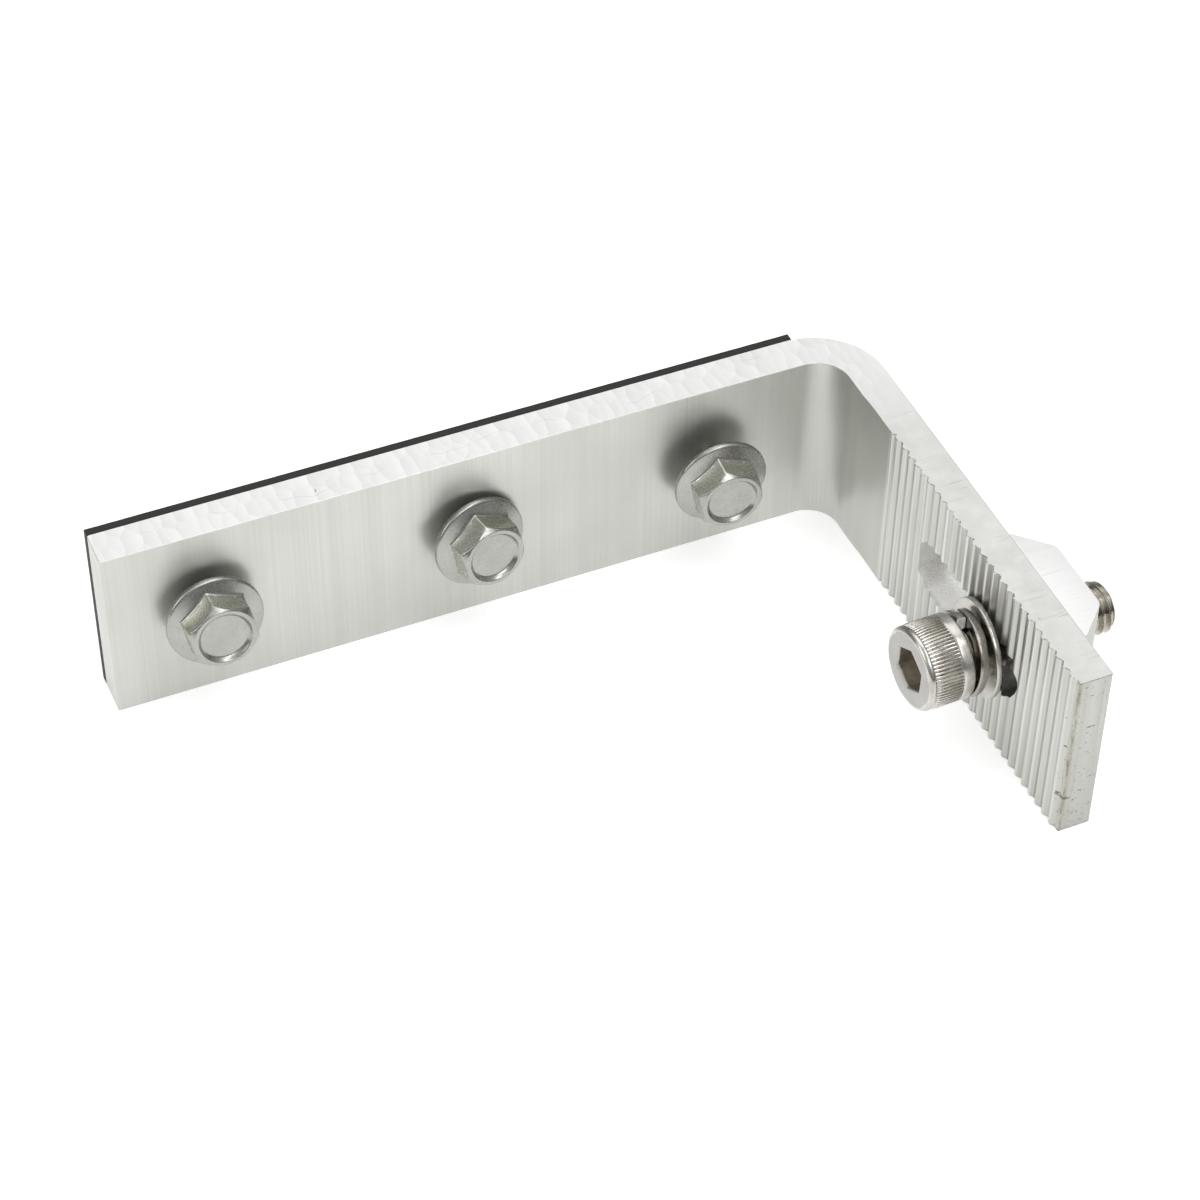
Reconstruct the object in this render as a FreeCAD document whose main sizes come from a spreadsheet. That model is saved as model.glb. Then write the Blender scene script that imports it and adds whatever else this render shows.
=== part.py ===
import FreeCAD, Part
import math
import os
import Sketcher
from FreeCAD import Placement, Rotation, Vector

# L clamp for a solar rail: an angle cut from an aluminium extrusion, a rubber pad behind its long
# leg, three hexagon roof screws, and a socket screw with washers and a channel nut in the slot.
# Origin: centre of the pad's outer face. +X runs along the long leg to the bend, +Y points out of
# the pad's outer face, +Z runs across the width that the angle was cut to.

doc = FreeCAD.newDocument("SolarLClamp")
sheet = doc.addObject("Spreadsheet::Sheet", "Sizes")

sizes = {
    # angle
    "cutWidth": 30.0,
    "longLeg": 120.0,
    "longThick": 6.0,
    "shortLeg": 80.0,
    "shortThick": 5.8,
    "outerBend": 11.0,
    "innerBend": 5.0,
    "bendFace": 65.0,
    "slotWidth": 9.0,
    "slotStart": 35.0,
    "slotEnd": 65.0,
    "toothPitch": 2.0,
    "toothRecess": 0.22,
    "toothDepth": 0.5,
    "toothFlat": 0.35,
    "toothCount": 27,
    "firstTooth": 27.1,
    "entryGroove": 25.2,
    "entryMouth": 1.2,
    "roofHole": 8.0,
    "roofHoleSpan": 80.0,
    # rubber pad
    "padLength": 110.0,
    "padThick": 1.5,
    "padHole": 9.0,
    # hexagon roof screws
    "roofShank": 6.3,
    "roofLength": 25.0,
    "drillWidth": 5.4,
    "drillLength": 6.5,
    "fluteWidth": 2.9,
    "flangeWidth": 14.6,
    "flangeRim": 0.9,
    "hexFoot": 1.65,
    "hexTop": 5.45,
    "hexAcross": 9.6,
    "hexBevel": 9.5,
    "dishMouth": 8.0,
    "dishFloor": 7.0,
    "dishDeep": 0.65,
    # socket screw
    "screwWidth": 8.0,
    "screwLength": 25.0,
    "tipWidth": 6.8,
    "neckBevel": 0.25,
    "headWidth": 12.8,
    "headHigh": 7.3,
    "faceWidth": 12.0,
    "headBevel": 0.4,
    "socketAcross": 6.02,
    "socketDeep": 4.0,
    "socketCone": 0.9,
    # washers
    "springInner": 8.8,
    "springOuter": 12.8,
    "springThick": 1.4,
    "springRise": 1.52,
    "springTurn": 390.0,
    "flatInner": 8.7,
    "flatOuter": 15.0,
    "flatThick": 0.9,
    # channel nut
    "nutLength": 16.0,
    "nutWidth": 22.4,
    "nutBack": 12.7,
    "nutThick": 7.1,
    "nutLip": 2.2,
    "nutCorner": 2.0,
    "nutBore": 8.5,
    "nutBoreShift": 0.2,
}
for row, (alias, value) in enumerate(sizes.items(), start=1):
    sheet.set("A%d" % row, alias)
    sheet.set("B%d" % row, str(value))
    sheet.setAlias("B%d" % row, alias)
doc.recompute()

# The loose fasteners rest askew in their holes. A lean gives the sideways and the upward share of
# a fastener's direction, and a spin turns it about its own axis, in degrees.
roofScrews = {
    "roof_screw_left": {
        "hole": Vector(-40.1, -4.5, -0.1), "lean": (0.3, 8.2), "out": 5.51, "spin": 40.3},
    "roof_screw_middle": {
        "hole": Vector(0.3, -4.5, -0.05), "lean": (7.5, 6.4), "out": 4.75, "spin": 38.1},
    "roof_screw_right": {
        "hole": Vector(39.7, -4.5, 0.05), "lean": (-3.0, -0.1), "out": 6.23, "spin": 40.3},
}
clampPoint = Vector(65.0, -56.96, -0.05)
clampAxis = Vector(1.0, 0.045, -0.025)
headSeat = -10.58
socketSpin = 30.0
nutSeat = Vector(67.3, -56.5, -0.15)
springSeat = -10.72
springLean = 6.0
springLeanTurn = -134.8
springCut = -98.0
flatCentre = Vector(58.92, -57.38, 0.05)
flatAxis = Vector(1.0, -0.061, -0.01)


def startBody(label):
    body = doc.addObject("PartDesign::Body", label)
    body.Label = label
    return body


def startSketch(body, name, role, raised=None):
    """A sketch on one of the body's own origin planes, raised along the plane's normal."""
    plane = [item for item in body.Origin.OriginFeatures if item.Role == role][0]
    sketch = body.newObject("Sketcher::SketchObject", name)
    sketch.AttachmentSupport = (plane, "")
    sketch.MapMode = "FlatFace"
    if raised:
        sketch.setExpression(".AttachmentOffset.Base.z", raised)
    return sketch


def valueOf(sketch, expression):
    value = sketch.evalExpression(expression)
    return float(getattr(value, "Value", value))


def pinPoint(sketch, edge, end, across, up):
    """Holds a point of an edge at two expressions, measured from the sketch's origin."""
    for kind, expression in (("DistanceX", across), ("DistanceY", up)):
        constraint = Sketcher.Constraint(kind, -1, 1, edge, end, valueOf(sketch, expression))
        number = sketch.addConstraint(constraint)
        sketch.setExpression("Constraints[%d]" % number, expression)


def drawOutline(sketch, corners):
    """A closed outline of straight edges through corners given as expressions."""
    first = sketch.GeometryCount
    count = len(corners)
    spots = [Vector(valueOf(sketch, u), valueOf(sketch, v), 0) for u, v in corners]
    for i in range(count):
        sketch.addGeometry(Part.LineSegment(spots[i], spots[(i + 1) % count]), False)
    for i in range(count):
        following = first + (i + 1) % count
        sketch.addConstraint(Sketcher.Constraint("Coincident", first + i, 2, following, 1))
    for i, (u, v) in enumerate(corners):
        pinPoint(sketch, first + i, 1, u, v)


def drawCircle(sketch, across, up, diameter):
    centre = Vector(valueOf(sketch, across), valueOf(sketch, up), 0)
    radius = valueOf(sketch, diameter) / 2
    edge = sketch.addGeometry(Part.Circle(centre, Vector(0, 0, 1), radius), False)
    number = sketch.addConstraint(Sketcher.Constraint("Diameter", edge, radius * 2))
    sketch.setExpression("Constraints[%d]" % number, diameter)
    pinPoint(sketch, edge, 3, across, up)


def drawHexagon(sketch, across):
    """A hexagon about the origin with two corners on the first axis."""
    corner = "(%s) / sqrt(3)" % across
    half = "(%s) / 2" % across
    drawOutline(sketch, [
        (corner, "0"), (corner + " / 2", half), ("-" + corner + " / 2", half),
        ("-" + corner, "0"), ("-" + corner + " / 2", "-" + half), (corner + " / 2", "-" + half)])


def makePad(body, name, sketch, length, symmetric=False):
    pad = body.newObject("PartDesign::Pad", name)
    pad.Profile = sketch
    pad.setExpression("Length", length)
    pad.SideType = "Symmetric" if symmetric else "One side"
    return pad


def makePocket(body, name, sketch, depth=None):
    """A pocket along the sketch's normal to a depth, or right through both ways without one."""
    pocket = body.newObject("PartDesign::Pocket", name)
    pocket.Profile = sketch
    if depth:
        pocket.Reversed = True
        pocket.setExpression("Length", depth)
    else:
        pocket.SideType = "Symmetric"
        pocket.Type = "ThroughAll"
    return pocket


def makeTurned(body, kind, name, sketch):
    """A revolution or groove of a half section about the sketch's upright axis."""
    turned = body.newObject("PartDesign::" + kind, name)
    turned.Profile = sketch
    turned.ReferenceAxis = (sketch, ["V_Axis"])
    turned.Angle = 360
    return turned


def repeatAlong(body, name, feature, axis, length, count):
    row = body.newObject("PartDesign::LinearPattern", name)
    row.Originals = [feature]
    row.Direction = axis
    row.setExpression("Length", length)
    row.setExpression("Occurrences", count)
    body.Tip = row
    return row


def roundEdges(body, name, base, radius, wanted):
    """Rounds the edges of a feature whose middle passes a test."""
    doc.recompute()
    names = []
    for number, edge in enumerate(base.Shape.Edges, start=1):
        middle = edge.valueAt((edge.FirstParameter + edge.LastParameter) / 2)
        if wanted(edge, middle):
            names.append("Edge%d" % number)
    fillet = body.newObject("PartDesign::Fillet", name)
    fillet.Base = (base, names)
    fillet.setExpression("Radius", radius)
    return fillet


def aimed(point, axis, reach, spin):
    """A placement with +Z along the axis, at a distance along it, turned about it by the spin."""
    direction = Vector(axis).normalize()
    level = direction.cross(Vector(0, 0, 1)).normalize()
    plumb = direction.cross(level)
    angle = math.radians(spin)
    first = level * math.cos(angle) + plumb * math.sin(angle)
    second = direction.cross(first)
    return Placement(point + direction * reach, Rotation(first, second, direction, "ZXY"))


# Angle. The leg profile is what the extrusion die gives, and the pad of it is the saw cut.
bracket = startBody("bracket")
legs = startSketch(bracket, "LegProfile", "XY_Plane")
endOfLong = "Sizes.bendFace - Sizes.longLeg"
outerFace = "-Sizes.padThick"
innerFace = "-Sizes.padThick - Sizes.longThick"
toothFace = "Sizes.bendFace - Sizes.shortThick"
endOfShort = "-Sizes.padThick - Sizes.shortLeg"
drawOutline(legs, [
    (endOfLong, outerFace), ("Sizes.bendFace", outerFace), ("Sizes.bendFace", endOfShort),
    (toothFace, endOfShort), (toothFace, innerFace), (endOfLong, innerFace)])
cut = makePad(bracket, "SawnLength", legs, "Sizes.cutWidth", symmetric=True)
outerCorner = Vector(valueOf(legs, "Sizes.bendFace"), valueOf(legs, outerFace), 0)
innerCorner = Vector(valueOf(legs, toothFace), valueOf(legs, innerFace), 0)
heel = roundEdges(
    bracket, "OuterBend", cut, "Sizes.outerBend",
    lambda edge, middle: middle.distanceToPoint(outerCorner) < 0.1)
roundEdges(
    bracket, "InnerBend", heel, "Sizes.innerBend",
    lambda edge, middle: middle.distanceToPoint(innerCorner) < 0.1)

# The slot is a milled pair of round ends joined by straight sides.
slot = startSketch(bracket, "Slot", "YZ_Plane")
slotTop = "-Sizes.padThick - Sizes.slotStart - Sizes.slotWidth / 2"
slotFoot = "-Sizes.padThick - Sizes.slotEnd + Sizes.slotWidth / 2"
half = valueOf(slot, "Sizes.slotWidth / 2")
top = valueOf(slot, slotTop)
foot = valueOf(slot, slotFoot)
topCircle = Part.Circle(Vector(top, 0, 0), Vector(0, 0, 1), half)
footCircle = Part.Circle(Vector(foot, 0, 0), Vector(0, 0, 1), half)
slot.addGeometry([
    Part.ArcOfCircle(topCircle, -math.pi / 2, math.pi / 2),
    Part.LineSegment(Vector(top, half, 0), Vector(foot, half, 0)),
    Part.ArcOfCircle(footCircle, math.pi / 2, 3 * math.pi / 2),
    Part.LineSegment(Vector(foot, -half, 0), Vector(top, -half, 0))], False)
for edge, following, end in ((0, 1, 1), (1, 2, 1), (2, 3, 1), (3, 0, 1)):
    slot.addConstraint(Sketcher.Constraint("Tangent", edge, 2, following, end))
slot.addConstraint(Sketcher.Constraint("Equal", 0, 2))
number = slot.addConstraint(Sketcher.Constraint("Radius", 0, half))
slot.setExpression("Constraints[%d]" % number, "Sizes.slotWidth / 2")
pinPoint(slot, 0, 3, slotTop, "0")
pinPoint(slot, 2, 3, slotFoot, "0")
makePocket(bracket, "SlotCut", slot)

# The toothed stretch lies a little below the smooth face, from the middle of the entry groove on.
entryMiddle = "-Sizes.padThick - Sizes.entryGroove"
crest = toothFace + " + Sizes.toothRecess"
valley = toothFace + " + Sizes.toothRecess + Sizes.toothDepth"
recess = startSketch(bracket, "ToothRecess", "XY_Plane")
drawOutline(recess, [
    (toothFace + " - 1", entryMiddle), (crest, entryMiddle),
    (crest, endOfShort + " - 1"), (toothFace + " - 1", endOfShort + " - 1")])
makePocket(bracket, "ToothRecessCut", recess)
entry = startSketch(bracket, "EntryGroove", "XY_Plane")
proud = toothFace + " - 0.2"
drawOutline(entry, [
    (proud, entryMiddle + " + Sizes.entryMouth / 2"), (valley, entryMiddle + " + Sizes.toothFlat / 4"),
    (valley, entryMiddle + " - Sizes.toothFlat / 4"), (proud, entryMiddle + " - Sizes.entryMouth / 2")])
makePocket(bracket, "EntryGrooveCut", entry)

# One groove between two teeth, repeated down the leg. The last one runs out of the free end.
groove = startSketch(bracket, "Groove", "XY_Plane")
grooveMiddle = "-Sizes.padThick - Sizes.firstTooth"
mouth = "(Sizes.toothPitch - Sizes.toothFlat) / 2"
floor = "Sizes.toothFlat / 2"
flare = "(%s + Sizes.toothRecess / Sizes.toothDepth * (%s - %s))" % (mouth, mouth, floor)
drawOutline(groove, [
    (toothFace, grooveMiddle + " + " + flare), (valley, grooveMiddle + " + " + floor),
    (valley, grooveMiddle + " - " + floor), (toothFace, grooveMiddle + " - " + flare)])
grooveCut = makePocket(bracket, "GrooveCut", groove)
doc.recompute()
teeth = repeatAlong(
    bracket, "Teeth", grooveCut, (groove, ["V_Axis"]),
    "Sizes.toothPitch * (Sizes.toothCount - 1)", "Sizes.toothCount")
teeth.Reversed = True
doc.recompute()
lastGroove = startSketch(bracket, "LastGroove", "XY_Plane")
lastMiddle = grooveMiddle + " - Sizes.toothPitch * (Sizes.toothCount - 1)"
drawOutline(lastGroove, [
    (toothFace, lastMiddle), (valley, lastMiddle),
    (valley, endOfShort + " - 1"), (toothFace, endOfShort + " - 1")])
makePocket(bracket, "LastGrooveCut", lastGroove)

# Three roof screw holes, on the centre line of the long leg.
hole = startSketch(bracket, "RoofHole", "XZ_Plane")
drawCircle(hole, "-Sizes.roofHoleSpan / 2", "0", "Sizes.roofHole")
holeCut = makePocket(bracket, "RoofHoleCut", hole)
doc.recompute()
repeatAlong(bracket, "RoofHoles", holeCut, (hole, ["H_Axis"]), "Sizes.roofHoleSpan", "3")

# Rubber pad, die-cut from sheet with wider holes than the angle's.
pad = startBody("rubber_pad")
strip = startSketch(pad, "Strip", "XZ_Plane")
drawOutline(strip, [
    ("-Sizes.padLength / 2", "-Sizes.cutWidth / 2"), ("Sizes.padLength / 2", "-Sizes.cutWidth / 2"),
    ("Sizes.padLength / 2", "Sizes.cutWidth / 2"), ("-Sizes.padLength / 2", "Sizes.cutWidth / 2")])
makePad(pad, "Sheet", strip, "Sizes.padThick")
punch = startSketch(pad, "Punch", "XZ_Plane")
drawCircle(punch, "-Sizes.roofHoleSpan / 2", "0", "Sizes.padHole")
punchCut = makePocket(pad, "PunchCut", punch)
doc.recompute()
repeatAlong(pad, "Punches", punchCut, (punch, ["H_Axis"]), "Sizes.roofHoleSpan", "3")


def makeRoofScrew(label, stance):
    """A hexagon flange screw with a drill point. Its origin is the centre of the flange's underside."""
    screw = startBody(label)
    half = startSketch(screw, label + "_section", "XZ_Plane")
    point = "-Sizes.roofLength + 0.84 * Sizes.drillWidth / 2"
    shoulder = "-Sizes.roofLength + Sizes.drillLength"
    drawOutline(half, [
        ("0", "-Sizes.roofLength"), ("Sizes.drillWidth / 2", point), ("Sizes.drillWidth / 2", shoulder),
        ("Sizes.roofShank / 2", shoulder + " + 0.8"), ("Sizes.roofShank / 2", "0"),
        ("Sizes.flangeWidth / 2", "0"), ("Sizes.flangeWidth / 2", "Sizes.flangeRim"),
        ("Sizes.hexAcross / 2 + 0.35", "Sizes.hexFoot"), ("0", "Sizes.hexFoot")])
    makeTurned(screw, "Revolution", label + "_turned", half)
    hexagon = startSketch(screw, label + "_hexagon", "XY_Plane", "Sizes.hexFoot")
    drawHexagon(hexagon, "Sizes.hexAcross")
    makePad(screw, label + "_head", hexagon, "Sizes.hexTop - Sizes.hexFoot")
    bevel = startSketch(screw, label + "_bevel", "XZ_Plane")
    drawOutline(bevel, [
        ("Sizes.hexBevel / 2", "Sizes.hexTop"), ("Sizes.hexBevel / 2 + 1.5", "Sizes.hexTop + 0.2"),
        ("Sizes.hexBevel / 2 + 1.5", "Sizes.hexTop - 0.87")])
    makeTurned(screw, "Groove", label + "_corners", bevel)
    dish = startSketch(screw, label + "_dish", "XZ_Plane")
    drawOutline(dish, [
        ("0", "Sizes.hexTop - Sizes.dishDeep"), ("Sizes.dishFloor / 2", "Sizes.hexTop - Sizes.dishDeep"),
        ("Sizes.dishMouth / 2", "Sizes.hexTop"), ("0", "Sizes.hexTop")])
    makeTurned(screw, "Groove", label + "_recess", dish)
    flute = startSketch(screw, label + "_flute", "XY_Plane", "-Sizes.roofLength")
    drawCircle(flute, "Sizes.drillWidth / 2", "0", "Sizes.fluteWidth")
    fluteCut = makePocket(screw, label + "_fluteCut", flute, "Sizes.drillLength - 1")
    doc.recompute()
    flutes = screw.newObject("PartDesign::PolarPattern", label + "_flutes")
    flutes.Originals = [fluteCut]
    flutes.Axis = (flute, ["N_Axis"])
    flutes.Angle = 360
    flutes.Occurrences = 2
    screw.Tip = flutes
    across, up = [math.tan(math.radians(angle)) for angle in stance["lean"]]
    screw.Placement = aimed(stance["hole"], Vector(across, -1, up), stance["out"], stance["spin"])
    return screw


roofBodies = [makeRoofScrew(label, stance) for label, stance in roofScrews.items()]

# Socket screw. Its origin is the centre of the head's underside, +Z runs to the thread's end.
capScrew = startBody("cap_screw")
capHalf = startSketch(capScrew, "CapSection", "XZ_Plane")
drawOutline(capHalf, [
    ("0", "-Sizes.headHigh"), ("Sizes.faceWidth / 2", "-Sizes.headHigh"),
    ("Sizes.headWidth / 2", "-Sizes.headHigh + Sizes.headBevel"), ("Sizes.headWidth / 2", "-0.2"),
    ("Sizes.headWidth / 2 - 0.2", "0"), ("Sizes.screwWidth / 2 + Sizes.neckBevel", "0"),
    ("Sizes.screwWidth / 2", "Sizes.neckBevel"), ("Sizes.screwWidth / 2", "Sizes.screwLength - 0.7"),
    ("Sizes.tipWidth / 2", "Sizes.screwLength"), ("0", "Sizes.screwLength")])
makeTurned(capScrew, "Revolution", "CapTurned", capHalf)
socket = startSketch(capScrew, "Socket", "XY_Plane", "-Sizes.headHigh")
drawHexagon(socket, "Sizes.socketAcross")
makePocket(capScrew, "SocketCut", socket, "Sizes.socketDeep")
socketEnds = startSketch(capScrew, "SocketEnds", "XZ_Plane")
socketFloor = "-Sizes.headHigh + Sizes.socketDeep"
drawOutline(socketEnds, [
    ("0", "-Sizes.headHigh - 0.2"), ("Sizes.socketAcross / 2 + 0.6", "-Sizes.headHigh - 0.2"),
    ("Sizes.socketAcross / 2", "-Sizes.headHigh + 0.35"), ("Sizes.socketAcross / 2", socketFloor),
    ("0", socketFloor + " + Sizes.socketCone")])
makeTurned(capScrew, "Groove", "SocketMouthAndFloor", socketEnds)
capScrew.Placement = aimed(clampPoint, clampAxis, headSeat, socketSpin)

# Spring washer: a square bar wound a little past one turn, left-handed against the right-hand thread.
springWasher = startBody("spring_washer")
bar = startSketch(springWasher, "Bar", "XZ_Plane")
drawOutline(bar, [
    ("Sizes.springInner / 2", "0"), ("Sizes.springOuter / 2", "0"),
    ("Sizes.springOuter / 2", "Sizes.springThick"), ("Sizes.springInner / 2", "Sizes.springThick")])
coil = springWasher.newObject("PartDesign::AdditiveHelix", "Coil")
coil.Profile = bar
coil.ReferenceAxis = (bar, ["V_Axis"])
coil.Mode = "pitch-turns-angle"
coil.LeftHanded = True
coil.setExpression("Pitch", "Sizes.springRise")
coil.setExpression("Turns", "Sizes.springTurn / 360")
clampDirection = Vector(clampAxis).normalize()
sideways = clampDirection.cross(Vector(0, 0, 1)).normalize()
downward = clampDirection.cross(sideways)
leanTurn = math.radians(springLeanTurn)
highSide = sideways * math.cos(leanTurn) + downward * math.sin(leanTurn)
springAxis = clampDirection - highSide * math.tan(math.radians(springLean))
springWasher.Placement = aimed(clampPoint + clampDirection * springSeat, springAxis, 0, springCut)

# Flat washer, leaning on the teeth. Its origin is the centre of the face towards the teeth.
flatWasher = startBody("flat_washer")
ring = startSketch(flatWasher, "Ring", "XY_Plane")
drawCircle(ring, "0", "0", "Sizes.flatOuter")
drawCircle(ring, "0", "0", "Sizes.flatInner")
ringPad = makePad(flatWasher, "Stamping", ring, "Sizes.flatThick")
ringPad.Reversed = True
flatWasher.Placement = aimed(flatCentre, flatAxis, 0, 0)

# Channel nut, cut from an extruded bar that narrows to its back, with the thread across it. The bar
# lies flat to the leg, and the screw leans in the slack of its thread.
nut = startBody("channel_nut")
bars = startSketch(nut, "BarProfile", "XZ_Plane")
drawOutline(bars, [
    ("-Sizes.nutWidth / 2 + 0.4", "0"), ("Sizes.nutWidth / 2 - 0.4", "0"),
    ("Sizes.nutWidth / 2", "0.4"), ("Sizes.nutWidth / 2", "Sizes.nutLip"),
    ("Sizes.nutBack / 2", "Sizes.nutThick"), ("-Sizes.nutBack / 2", "Sizes.nutThick"),
    ("-Sizes.nutWidth / 2", "Sizes.nutLip"), ("-Sizes.nutWidth / 2", "0.4")])
nutPad = makePad(nut, "NutBar", bars, "Sizes.nutLength", symmetric=True)
roundEdges(
    nut, "NutCorners", nutPad, "Sizes.nutCorner",
    lambda edge, middle: middle.z > 7.0 and abs(middle.y) < 0.1 and abs(middle.x) > 6.0)
thread = startSketch(nut, "Thread", "XY_Plane")
drawCircle(thread, "Sizes.nutBoreShift", "0", "Sizes.nutBore")
makePocket(nut, "ThreadCut", thread)
nut.Placement = aimed(nutSeat, Vector(1, 0, 0), 0, 0)

doc.recompute()

pieces = [bracket, pad] + roofBodies + [capScrew, springWasher, flatWasher, nut]
for item in doc.Objects:
    if "Invalid" in item.State or "Error" in item.State:
        raise SystemExit("%s is not built: %s" % (item.Label, item.State))
for piece in pieces:
    if piece.Shape.isNull() or not piece.Shape.isValid() or len(piece.Shape.Solids) != 1:
        raise SystemExit("%s has no single sound solid" % piece.Label)
    box = piece.Shape.BoundBox
    print("%-18s %9.1f mm3  x %.2f..%.2f  y %.2f..%.2f  z %.2f..%.2f" % (
        piece.Label, piece.Shape.Volume, box.XMin, box.XMax, box.YMin, box.YMax, box.ZMin, box.ZMax))

os.makedirs("parts", exist_ok=True)
for piece in pieces:
    piece.Shape.exportStep("parts/%s.step" % piece.Label)
print("pieces written:", len(pieces))
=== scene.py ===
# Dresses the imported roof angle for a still: an aluminium angle on a rubber
# strip, three hex flange roof screws and the M8 clamp stack in its slot.
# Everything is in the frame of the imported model; the dictionaries give places
# and sizes in millimetres, and the scene itself is in metres.
import math
import bmesh
import bpy
from mathutils import Matrix, Vector, noise


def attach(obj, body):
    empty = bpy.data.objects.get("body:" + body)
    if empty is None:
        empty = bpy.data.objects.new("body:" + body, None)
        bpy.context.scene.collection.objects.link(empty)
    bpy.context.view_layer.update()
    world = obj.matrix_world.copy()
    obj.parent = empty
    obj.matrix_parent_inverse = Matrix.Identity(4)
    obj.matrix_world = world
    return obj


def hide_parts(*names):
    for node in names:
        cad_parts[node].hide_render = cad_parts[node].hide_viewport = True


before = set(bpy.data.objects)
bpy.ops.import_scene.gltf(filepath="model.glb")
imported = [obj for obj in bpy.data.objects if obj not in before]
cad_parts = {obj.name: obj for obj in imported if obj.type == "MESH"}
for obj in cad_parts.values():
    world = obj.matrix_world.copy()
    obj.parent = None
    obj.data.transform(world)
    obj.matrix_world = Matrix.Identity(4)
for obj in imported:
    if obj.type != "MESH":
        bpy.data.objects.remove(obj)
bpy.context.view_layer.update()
scene = bpy.context.scene
mm = 0.001
print("frame loaded:", len(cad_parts), "nodes")


# node helpers
class Flow:
    # one output in a node tree; a sum written with it becomes a Math node
    def __init__(self, socket):
        self.socket, self.tree = socket, socket.id_data

    def math(self, operation, other=0, third=0, clamp=False):
        return mathNode(self.tree, operation, self, other, third, clamp)

    def __add__(self, other):
        return self.math("ADD", other)

    def __sub__(self, other):
        return self.math("SUBTRACT", other)

    def __rsub__(self, other):
        return mathNode(self.tree, "SUBTRACT", other, self)

    def __mul__(self, other):
        return self.math("MULTIPLY", other)

    def __truediv__(self, other):
        return self.math("DIVIDE", other)

    def __rtruediv__(self, other):
        return mathNode(self.tree, "DIVIDE", other, self)

    def __abs__(self):
        return self.math("ABSOLUTE")

    def spread(self, low, high, toLow=0, toHigh=1, style="LINEAR"):
        return flow(self.tree, "ShaderNodeMapRange", {"interpolation_type": style, "clamp": True},
                    i0=self, i1=low, i2=high, i3=toLow, i4=toHigh)

    def along(self, ends, toLow=0, toHigh=1, style="LINEAR"):
        # the same between two places in millimetres
        return self.spread(ends[0] * mm, ends[1] * mm, toLow, toHigh, style)


def feed(socket, value):
    # an output is linked, anything else is typed in
    if isinstance(value, Flow):
        socket.id_data.links.new(value.socket, socket)
    else:
        socket.default_value = value


def put(tree, kind, options=None, **values):
    # adds a node; i3 is its fourth input, and Size_X the input called Size X
    node = tree.nodes.new(kind)
    for key, value in (options or {}).items():
        setattr(node, key, value)
    for key, value in values.items():
        counted = key[0] == "i" and key[1:].isdigit()
        feed(node.inputs[int(key[1:]) if counted else key.replace("_", " ")], value)
    return node


def flow(tree, kind, options=None, out=0, **values):
    return Flow(put(tree, kind, options, **values).outputs[out])


def mathNode(tree, operation, first, second, third=0, clamp=False):
    return flow(tree, "ShaderNodeMath", {"operation": operation, "use_clamp": clamp},
                i0=first, i1=second, i2=third)


def splitXyz(spot):
    return [Flow(socket) for socket in put(spot.tree, "ShaderNodeSeparateXYZ", Vector=spot).outputs]


def joinXyz(tree, x, y, z):
    return flow(tree, "ShaderNodeCombineXYZ", X=x, Y=y, Z=z)


def between(share, first, second):
    return flow(share.tree, "ShaderNodeMix", {"data_type": "FLOAT"}, i0=share, i2=first, i3=second)


def blend(share, first, second):
    return flow(share.tree, "ShaderNodeMix", {"data_type": "RGBA"}, 2, i0=share, i6=first, i7=second)


def layered(colour, look, *coats):
    # each coat is how much of it shows and the name of its colour
    for share, tone in coats:
        colour = blend(share, colour, look[tone])
    return colour


def grain(spot, scale, detail, roughness, stretch=(1, 1, 1), turn=(0, 0, 0), warp=0):
    # noise on the object's own coordinates; scale counts features per metre
    mapped = flow(spot.tree, "ShaderNodeMapping", Vector=spot, Rotation=turn, Scale=stretch)
    return flow(spot.tree, "ShaderNodeTexNoise", Vector=mapped, Scale=scale, Detail=detail,
                Roughness=roughness, Distortion=warp)


def startMaterial(name):
    material = bpy.data.materials.new(name)
    material.use_nodes = True
    tree = material.node_tree
    tree.nodes.clear()
    shader = tree.nodes.new("ShaderNodeBsdfPrincipled")
    put(tree, "ShaderNodeOutputMaterial", Surface=Flow(shader.outputs[0]))
    return material, shader, flow(tree, "ShaderNodeTexCoord", out="Object")


def coat(shader, colour, metal, rough, height, depth, strength=1):
    # a height of one stands depth metres above the surface
    bumps = flow(shader.id_data, "ShaderNodeBump", Height=height, Distance=depth, Strength=strength)
    for name, value in (("Base Color", colour), ("Metallic", metal), ("Roughness", rough),
                        ("Normal", bumps)):
        feed(shader.inputs[name], value)


# finishes
# aluminium as it leaves the die: fine lines along the pull and a few dark specks; on the
# toothed leg crests painted paler, partly wear and partly a painted highlight, painted shade in the
# grooves, and pits and a brown stain at the free end
dieLook = {"pale": (0.602, 0.609, 0.573, 1), "grey": (0.525, 0.531, 0.497, 1),
           "haze": (0.518, 0.523, 0.487, 1), "score": (0.34, 0.34, 0.31, 1),
           "paintedShade": (0.22, 0.22, 0.195, 1), "crest": (0.75, 0.756, 0.725, 1),
           "flank": (0.43, 0.435, 0.405, 1), "speck": (0.12, 0.115, 0.095, 1),
           "stain": (0.23, 0.215, 0.155, 1), "oil": (0.4, 0.38, 0.305, 1),
           "toe": (0.42, 0.422, 0.39, 1), "metal": 0.9, "roughness": 0.36, "lineDepth": 0.00001,
           "teethFrom": -25.6, "greyDown": (-11, -24), "crestHighlightAcross": (59.53, 59.44),
           "grooveShadeAcross": (59.74, 59.9), "grooveShadeLimit": 60.1, "grooveShadeEnd": -79.8, "lipUp": (14.8, 14.9),
           "toeDown": (-81.3, -81.45), "pitsDown": (-75.5, -81.3), "pitsUp": (-4, -15),
           "oilDown": (-80.5, -81.25), "oilAcross": (61.5, 60),
           "stainDown": (-80.85, -81.3), "stainAcross": (60.4, 60.05)}


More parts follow.
